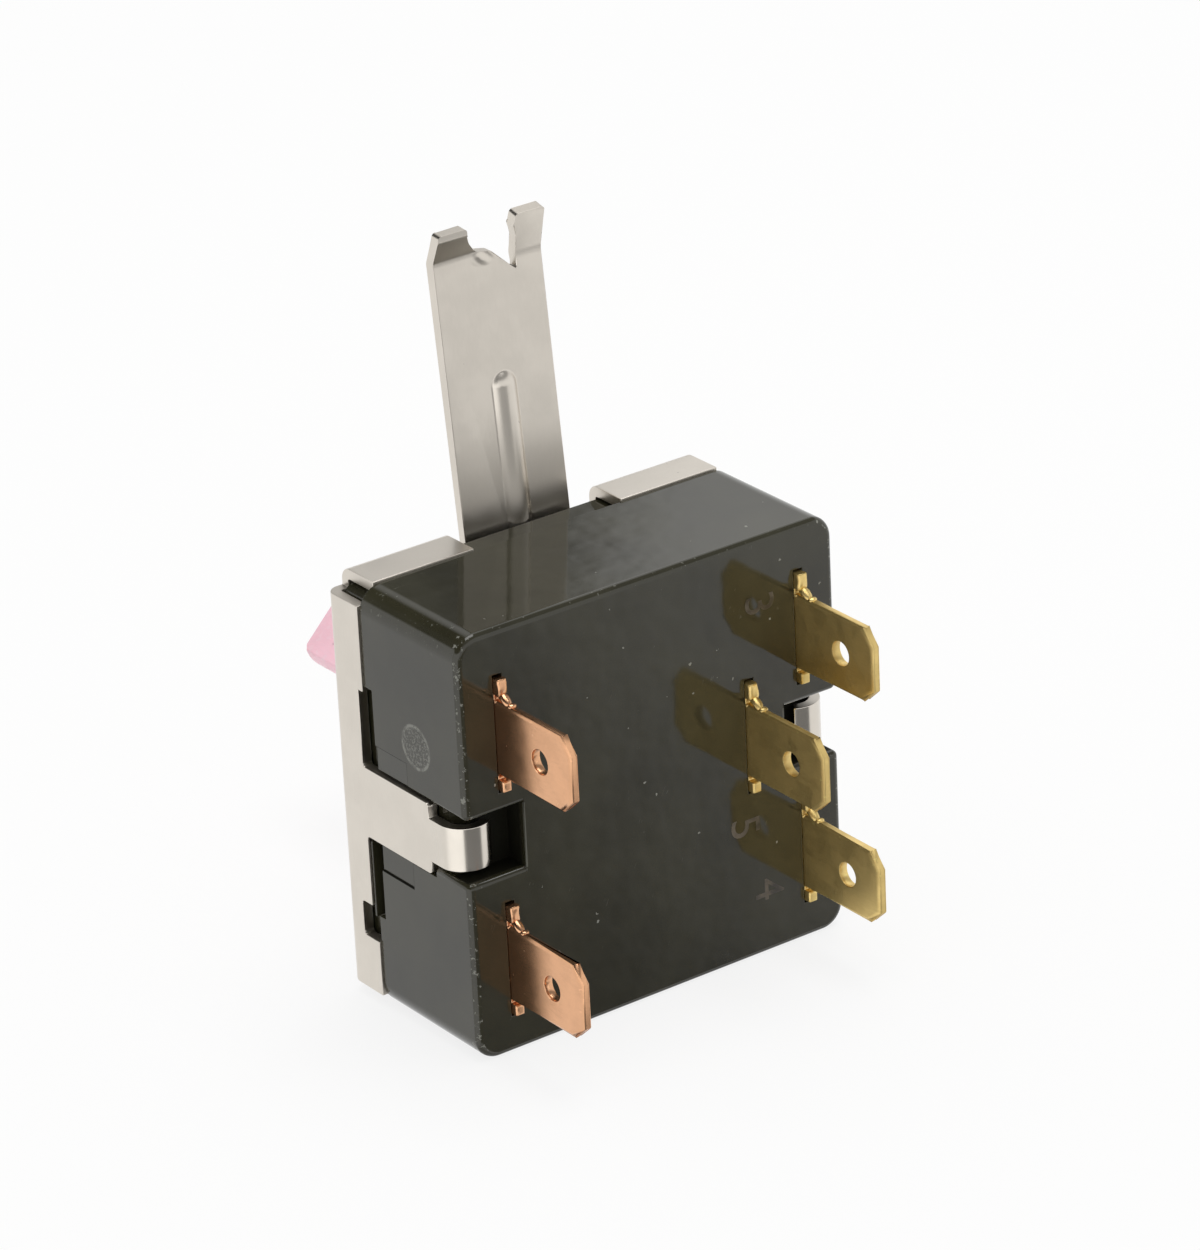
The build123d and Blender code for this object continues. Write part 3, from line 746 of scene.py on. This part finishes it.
class SWITCH_OT_numbers(Operator):
    """Mark the terminals' numbers on the housing's back"""

    bl_idname = "switch.numbers"
    bl_label = "Terminal numbers"

    def execute(self, context):
        settings = context.scene.switch_housing
        ink = marking_ink(settings)
        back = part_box("housing")[1][1]
        reading = Matrix(((0, -1, 0), (0, 0, 1), (-1, 0, 0))).to_4x4()
        for digit, (x, z) in NUMBER_PLACES.items():
            letter = bpy.data.curves.new("number_" + digit, "FONT")
            letter.body = digit
            letter.align_x = "CENTER"
            letter.align_y = "CENTER"
            letter.size = settings.number_height / DIGIT_SHARE
            letter.extrude = INK_DEPTH
            letter.resolution_u = 4
            shape = bpy.data.objects.new("number_shape", letter)
            mesh = bpy.data.meshes.new_from_object(shape)
            bpy.data.objects.remove(shape)
            mesh.transform(Matrix.Translation((x * MM, back + INK_RISE, z * MM)) @ reading)
            obj = bpy.data.objects.new("number_" + digit, mesh)
            context.scene.collection.objects.link(obj)
            dress(obj, ink)
            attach(obj, "body")
        return {"FINISHED"}


# Heights over the housing's top
FLANGE_BAND = 1.0 * MM
PRONG_RISE = 15.0 * MM


class SWITCH_OT_bracket(Operator):
    """Finish the folded bracket with rounded sheared edges and its plating"""

    bl_idname = "switch.bracket"
    bl_label = "Bracket"

    def execute(self, context):
        settings = context.scene.switch_metal
        form = clean_form("bracket")
        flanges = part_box("housing")[1][2]
        sheared = form.faces.layers.float.new("sheared")
        for face in form.faces:
            level = abs(face.calc_center_median().z - flanges) > FLANGE_BAND
            face[sheared] = 1.0 if level and face.normal.z > 0.9 else 0.0
        round_edges(form, settings.edge, fine_above=flanges + PRONG_RISE)
        plating = metal(
            "Plated steel",
            settings.steel,
            [part * 0.95 for part in settings.steel],
            (5.0, 5.0, 1.2),
            rough=(0.28, 0.32),
            patch=0.3,
            scratches=0.1,
            relief=0.0006,
            worn=0.0,
        )
        press_folds(plating, FOLD_CENTRE)
        polish_hooks(plating)
        obj = new_piece("bracket_sheet", form, plating)
        finish_shading(obj)
        stand_for("bracket", obj, "body")
        return {"FINISHED"}


# Lengths on a tab: behind the housing's back, over the blade's upper edge, and back from its tip
FOOT_CUT = 0.12 * MM
COIN_START = 0.1 * MM
EAR_START = 0.2 * MM
EAR_RISE = 0.3 * MM
BLADE_END = 2.0 * MM
EDGE_SLACK = 0.01 * MM
# Edges up to these lengths are left alone: those round a blade's hole, and the short ones of an ear
HOLE_EDGE = 0.8 * MM
EAR_EDGE = 0.2 * MM
# The webs beside an upper ear: the middle's two distances, the three half sizes and the tilt
WEB_LUMPS = (
    ((0.85 * MM, 0.32 * MM), (0.39 * MM, 0.95 * MM, 0.3 * MM), -0.5),
    ((1.75 * MM, 0.0), (0.37 * MM, 0.3 * MM, 0.2 * MM), 0.0),
)


def add_lump(form, centre, size, tilt):
    """A rounded lump of the web that the staking punch leaves between ear and blade."""
    made = bmesh.ops.create_icosphere(form, subdivisions=3, radius=1.0)["verts"]
    turn = Matrix.Rotation(tilt, 3, "X")
    for vert in made:
        swell = 1.0 + 0.06 * math.sin(5.0 * vert.co.y + 3.0 * vert.co.z)
        scaled = Vector((vert.co.x * size[0], vert.co.y * size[1], vert.co.z * size[2]))
        vert.co = turn @ scaled * swell + Vector(centre)


def coin_edges(form, start, bottom, top, width):
    """Chamfers the outline of a blade on both its sides, but not its hole."""
    pocket_shade_line = []
    for edge in form.edges:
        flat = [face for face in edge.link_faces if abs(face.normal.x) > SQUARE_ON]
        behind = all(vert.co.y > start and bottom < vert.co.z < top for vert in edge.verts)
        if len(flat) == 1 and behind and edge.calc_length() > HOLE_EDGE:
            pocket_shade_line.append(edge)
    bevel(form, pocket_shade_line, width, 1)


def knead_ear(form, is_ear):
    """Turns a staked ear into an uneven, rounded knob."""
    edges = [e for e in form.edges if all(is_ear(v.co) for v in e.verts) and e.calc_length() > EAR_EDGE]
    bmesh.ops.subdivide_edges(form, edges=edges, cuts=3, use_grid_fill=True)
    loose = [v for v in form.verts if is_ear(v.co)]
    axes = {"use_axis_x": True, "use_axis_y": True, "use_axis_z": True}
    for turn in range(5):
        bmesh.ops.smooth_vert(form, verts=loose, factor=0.5, **axes)
    form.normal_update()
    for vert in loose:
        x, y, z = vert.co / MM
        lump = math.sin(x * 5.1 + z * 3.7) + math.sin(y * 6.3 - z * 4.9)
        vert.co += vert.normal * (0.07 + 0.03 * lump) * MM


class SWITCH_OT_terminals(Operator):
    """Finish the five tabs with their staked ears"""

    bl_idname = "switch.terminals"
    bl_label = "Terminals"

    def execute(self, context):
        settings = context.scene.switch_metal
        copper = tab_metal("Copper", settings.copper, [part * 0.92 for part in settings.copper], (0.22, 0.27))
        brass = tab_metal("Brass", settings.brass, [part * 0.86 for part in settings.brass], (0.4, 0.5))
        for number in range(1, 6):
            node = "terminal_" + str(number)
            form = clean_form(node)
            low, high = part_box(node)
            back = high[1] - settings.blade_length
            blade = [vert.co for vert in form.verts if vert.co.y > high[1] - BLADE_END]
            top, bottom = max(point.z for point in blade), min(point.z for point in blade)
            middle = (max(point.x for point in blade) + min(point.x for point in blade)) / 2
            everything = form.verts[:] + form.edges[:] + form.faces[:]
            cut = (0, back + FOOT_CUT, 0)
            bmesh.ops.bisect_plane(form, geom=everything, plane_co=cut, plane_no=(0, 1, 0))
            coin_edges(form, back + COIN_START, bottom - EDGE_SLACK, top + EDGE_SLACK, settings.coining)
            round_edges(form, settings.edge, least_angle=50)
            knead_ear(form, lambda point: point.y > back + EAR_START and point.z > top + EAR_RISE)
            for (behind, above), size, tilt in WEB_LUMPS:
                add_lump(form, (middle, back + behind, top + above), size, tilt)
            for vert in form.verts:
                vert.co = Vector(min(max(vert.co[i], low[i]), high[i]) for i in range(3))
            is_copper = number < 3
            obj = new_piece(node + "_tab", form, copper if is_copper else brass)
            finish_shading(obj)
            stand_for(node, obj, "body")
        return {"FINISHED"}


class SWITCH_OT_rotor(Operator):
    """Finish the rotor with its shaft"""

    bl_idname = "switch.rotor"
    bl_label = "Rotor"

    def execute(self, context):
        settings = context.scene.switch_shaft
        form = clean_form("rotor")
        round_edges(form, settings.edge)
        obj = new_piece("rotor_moulding", form, shaft_plastic(settings))
        finish_shading(obj)
        stand_for("rotor", obj, "rotor")
        return {"FINISHED"}


class SWITCH_OT_inner_parts(Operator):
    """Give the contacts, springs and balls their metals"""

    bl_idname = "switch.inner_parts"
    bl_label = "Inner parts"

    def execute(self, context):
        settings = context.scene.switch_metal
        cloudy = (6.0, 6.0, 6.0)
        silver = metal("Contact silver", (0.86, 0.85, 0.82), (0.7, 0.69, 0.66), cloudy, rough=(0.2, 0.34))
        dull_copper = [part * 0.75 for part in settings.copper]
        strip = metal("Contact strip", settings.copper, dull_copper, (6.0, 1.0, 6.0), rough=(0.28, 0.42))
        wire = metal("Spring wire", (0.42, 0.41, 0.4), (0.3, 0.29, 0.28), (8.0, 8.0, 8.0), rough=(0.26, 0.38))
        ball = metal("Ball steel", (0.62, 0.62, 0.63), (0.5, 0.5, 0.51), (3.0, 3.0, 3.0), rough=(0.08, 0.16))
        finishes = {
            "fixed_contact": silver,
            "moving_contact": silver,
            "contactor": strip,
            "pressure_spring": wire,
            "detent_spring": wire,
            "detent_ball": ball,
        }
        for node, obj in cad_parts.items():
            for start, material in finishes.items():
                if node.startswith(start):
                    dress(obj, material)
        return {"FINISHED"}


FLOOR_HALF = 3.0
LAMP_PLACE = (-0.12, 0.02, 1.0)
LAMP_WIDTH = 0.62

# The camera's place in metres, and its own directions
CAMERA_PLACE = (0.24186, 0.35251, 0.20437)
CAMERA_RIGHT = Vector((-0.80343, 0.59366, -0.04547))
CAMERA_DOWN = Vector((0.28025, 0.30967, -0.90861))
CAMERA_AHEAD = Vector((-0.52533, -0.74274, -0.41517))

# What shiny surfaces mirror, each as a direction in the room
WALL_WAY = (-0.80, 0.59, 0.0)
SHADE_WAY = (0.765, 0.182, -0.618)
PANEL_WAY = (-0.39, -0.53, 0.753)
WINDOW_WAY = (0.94, 0.342, 0.0)


class SWITCH_OT_stage(Operator):
    """Set up the floor, the light and the camera"""

    bl_idname = "switch.stage"
    bl_label = "Stage"

    def execute(self, context):
        settings = context.scene.switch_stage
        self.floor(context, settings)
        self.room(context, settings)
        self.lamp(context, settings)
        self.camera(context, settings)
        context.scene.view_settings.view_transform = "Standard"
        return {"FINISHED"}

    def floor(self, context, settings):
        """Paper that shows nearly white and isn't seen in the mirroring surfaces."""
        form = bmesh.new()
        bmesh.ops.create_grid(form, x_segments=1, y_segments=1, size=FLOOR_HALF)
        material, tree = bare_material("Floor paper")
        paper = put(tree, "ShaderNodeBsdfDiffuse", {"Color": rgba(settings.floor)})
        white = put(tree, "ShaderNodeEmission", {"Color": (1.0, 1.0, 1.0, 1.0), "Strength": 1.0})
        path = put(tree, "ShaderNodeLightPath").outputs
        share = calc(tree, "MULTIPLY", path["Is Camera Ray"], 0.82)
        both = put(tree, "ShaderNodeMixShader", {0: share, 1: paper.outputs[0], 2: white.outputs[0]})
        clear = put(tree, "ShaderNodeBsdfTransparent")
        ways = {0: path["Is Glossy Ray"], 1: both.outputs[0], 2: clear.outputs[0]}
        shown = put(tree, "ShaderNodeMixShader", ways)
        put(tree, "ShaderNodeOutputMaterial", {"Surface": shown.outputs[0]})
        obj = new_piece("floor", form, material)
        obj.location.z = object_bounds()[0][2]
        obj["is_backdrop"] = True

    def room(self, context, settings):
        """White to the camera and even to matt surfaces, with walls and a ground for shiny ones."""
        world = bpy.data.worlds.new("Room")
        context.scene.world = world
        world.use_nodes = True
        tree = world.node_tree
        tree.nodes.clear()
        way = put(tree, "ShaderNodeTexCoord").outputs["Generated"]
        apart = split(tree, way)
        path = put(tree, "ShaderNodeLightPath").outputs
        across = self.toward(tree, way, WALL_WAY)
        beyond = self.toward(tree, way, SHADE_WAY)
        wall = fade(tree, across, -0.034, -0.002, 0.1, 1.0)
        wall = calc(tree, "MULTIPLY", wall, fade(tree, apart[2], 0.46, 0.6, 1.0, 0.3))
        panel = fade(tree, self.toward(tree, way, PANEL_WAY), 0.9, 0.97, 0.0, 0.9)
        wall = calc(tree, "ADD", wall, panel)
        shade = combine(
            tree,
            "MULTIPLY",
            fade(tree, across, -0.03, 0.03),
            fade(tree, beyond, -0.045, 0.045),
            fade(tree, apart[2], -0.18, -0.1, 0.78, 0.0),
            fade(tree, apart[2], -0.62, -0.52),
        )
        shade = calc(tree, "MAXIMUM", shade, fade(tree, apart[2], -0.85, -0.75, 0.45, 0.0))
        window = fade(tree, self.toward(tree, way, WINDOW_WAY), 0.6, 0.85, 0.0, 0.35)
        ground = calc(tree, "ADD", calc(tree, "SUBTRACT", 1.0, shade), window)
        above = fade(tree, apart[2], 0.24, 0.36)
        seen = put(tree, "ShaderNodeMix", {0: above, 2: ground, 3: wall}).outputs[0]
        seen = calc(tree, "MAXIMUM", seen, path["Is Camera Ray"])
        shown = calc(tree, "MAXIMUM", path["Is Camera Ray"], path["Is Glossy Ray"])
        even = calc(tree, "MULTIPLY", calc(tree, "SUBTRACT", 1.0, shown), settings.sky)
        strength = calc(tree, "ADD", even, calc(tree, "MULTIPLY", shown, seen))
        light = put(tree, "ShaderNodeBackground", {"Color": (1.0, 1.0, 1.0, 1.0), "Strength": strength})
        put(tree, "ShaderNodeOutputWorld", {"Surface": light.outputs[0]})

    def toward(self, tree, way, direction):
        return on_vectors(tree, "DOT_PRODUCT", way, direction)["Value"]

    def lamp(self, context, settings):
        data = bpy.data.lights.new("Main light", "AREA")
        data.shape = "SQUARE"
        data.size = LAMP_WIDTH
        data.energy = settings.key_power
        lamp = bpy.data.objects.new("Main light", data)
        lamp.location = LAMP_PLACE
        lamp.rotation_euler = Vector(LAMP_PLACE).to_track_quat("Z", "Y").to_euler()
        context.scene.collection.objects.link(lamp)

    def camera(self, context, settings):
        data = bpy.data.cameras.new("Camera")
        data.lens = settings.focal_length
        data.sensor_width = 36.0
        data.sensor_fit = "AUTO"
        data.clip_start = 0.01
        data.clip_end = 20.0
        camera = bpy.data.objects.new("Camera", data)
        turn = Matrix((CAMERA_RIGHT, -CAMERA_DOWN, -CAMERA_AHEAD)).transposed().to_4x4()
        camera.matrix_world = Matrix.Translation(CAMERA_PLACE) @ turn
        context.scene.collection.objects.link(camera)
        context.scene.camera = camera


class SWITCH_PT_panel(Panel):
    """Buttons and settings of the switch"""

    bl_label = "Rotary switch"
    bl_idname = "SWITCH_PT_panel"
    bl_space_type = "VIEW_3D"
    bl_region_type = "UI"
    bl_category = "Switch"

    def draw(self, context):
        for group in SETTINGS:
            box = self.layout.box()
            box.label(text=group.replace("switch_", "").capitalize())
            settings = getattr(context.scene, group)
            for name in settings.__annotations__:
                box.prop(settings, name)
        for step in STEPS:
            self.layout.operator(step.bl_idname)


SETTINGS = {
    "switch_housing": HousingSettings,
    "switch_metal": MetalSettings,
    "switch_shaft": ShaftSettings,
    "switch_stage": StageSettings,
}
STEPS = (
    SWITCH_OT_housing,
    SWITCH_OT_numbers,
    SWITCH_OT_bracket,
    SWITCH_OT_terminals,
    SWITCH_OT_rotor,
    SWITCH_OT_inner_parts,
    SWITCH_OT_stage,
)


def register():
    for group in SETTINGS.values():
        bpy.utils.register_class(group)
    for step in STEPS:
        bpy.utils.register_class(step)
    bpy.utils.register_class(SWITCH_PT_panel)
    for name, group in SETTINGS.items():
        setattr(bpy.types.Scene, name, PointerProperty(type=group))


def unregister():
    for name in SETTINGS:
        delattr(bpy.types.Scene, name)
    bpy.utils.unregister_class(SWITCH_PT_panel)
    for step in reversed(STEPS):
        bpy.utils.unregister_class(step)
    for group in reversed(SETTINGS.values()):
        bpy.utils.unregister_class(group)


def main():
    register()
    bpy.ops.switch.housing()
    bpy.ops.switch.numbers()
    bpy.ops.switch.bracket()
    bpy.ops.switch.terminals()
    bpy.ops.switch.rotor()
    bpy.ops.switch.inner_parts()
    bpy.ops.switch.stage()


if __name__ == "__main__":
    main()
